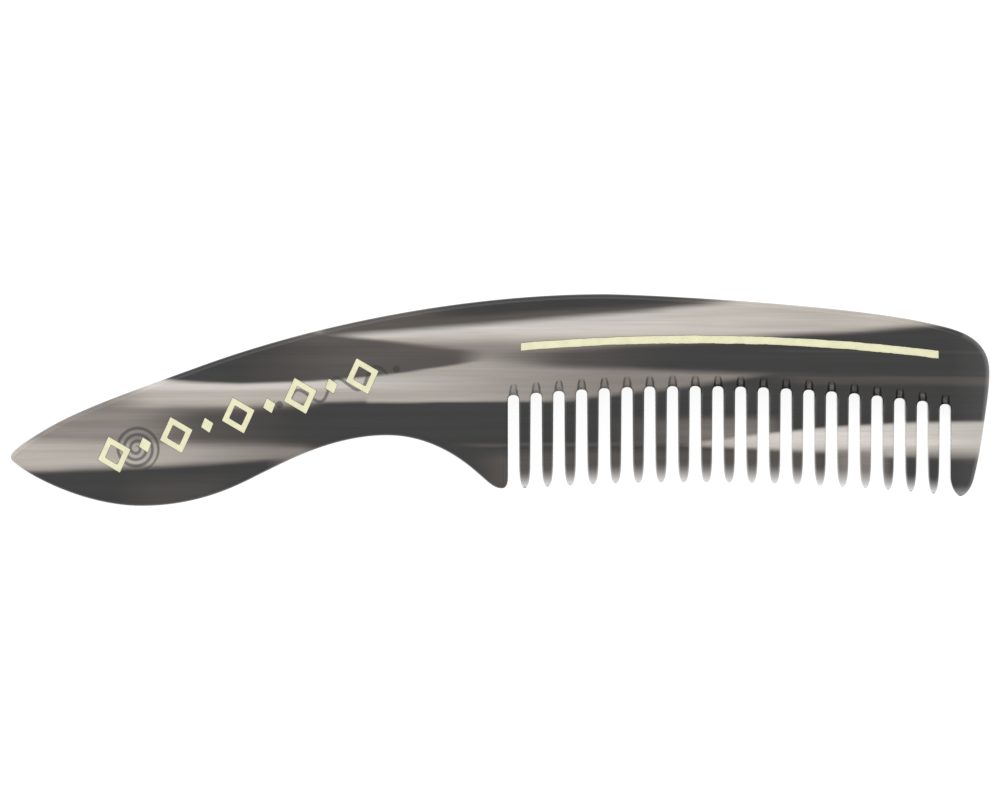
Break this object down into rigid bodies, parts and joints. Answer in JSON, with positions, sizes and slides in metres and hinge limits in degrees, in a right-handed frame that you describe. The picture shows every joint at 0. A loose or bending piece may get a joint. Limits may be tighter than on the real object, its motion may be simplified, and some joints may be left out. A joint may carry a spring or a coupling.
{
  "type": "beard comb",
  "caption": "One-piece handled beard comb in marbled grey acetate, with coarse saw-cut teeth, a wide guard tooth and a leaf-shaped handle with a finger notch.",
  "frame": {"origin": "on the back face, under the middle of the comb's outline", "axes": "+X along the comb from the handle's tip to the guard tooth; +Y across it from the tooth tips to the spine; +Z out of the front face"},
  "size_m": [0.165, 0.0358, 0.0044],
  "materials": {
    "acetate": "hand-polished marbled sheet, charcoal to pearl grey",
    "cream_fill": "cream enamel wiped into an engraved recess",
    "dark_fill": "dark ink set in a fine engraved line"
  },
  "bodies": {
    "root": {"handle_and_spine": "acetate", "tooth_01": "acetate", "tooth_02": "acetate", "tooth_03": "acetate", "tooth_04": "acetate", "tooth_05": "acetate", "tooth_06": "acetate", "tooth_07": "acetate", "tooth_08": "acetate", "tooth_09": "acetate", "tooth_10": "acetate", "tooth_11": "acetate", "tooth_12": "acetate", "tooth_13": "acetate", "tooth_14": "acetate", "tooth_15": "acetate", "tooth_16": "acetate", "tooth_17": "acetate", "tooth_18": "acetate", "tooth_19": "acetate", "guard_tooth": "acetate", "spine_stripe": "cream_fill", "handle_open_lozenge_1": "cream_fill", "handle_solid_lozenge_1": "cream_fill", "handle_open_lozenge_2": "cream_fill", "handle_solid_lozenge_2": "cream_fill", "handle_open_lozenge_3": "cream_fill", "handle_solid_lozenge_3": "cream_fill", "handle_open_lozenge_4": "cream_fill", "handle_solid_lozenge_4": "cream_fill", "handle_open_lozenge_5": "cream_fill", "back_volute": "dark_fill", "back_wave": "dark_fill", "back_dot_1": "dark_fill", "back_dot_2": "dark_fill"}
  },
  "joints": []
}
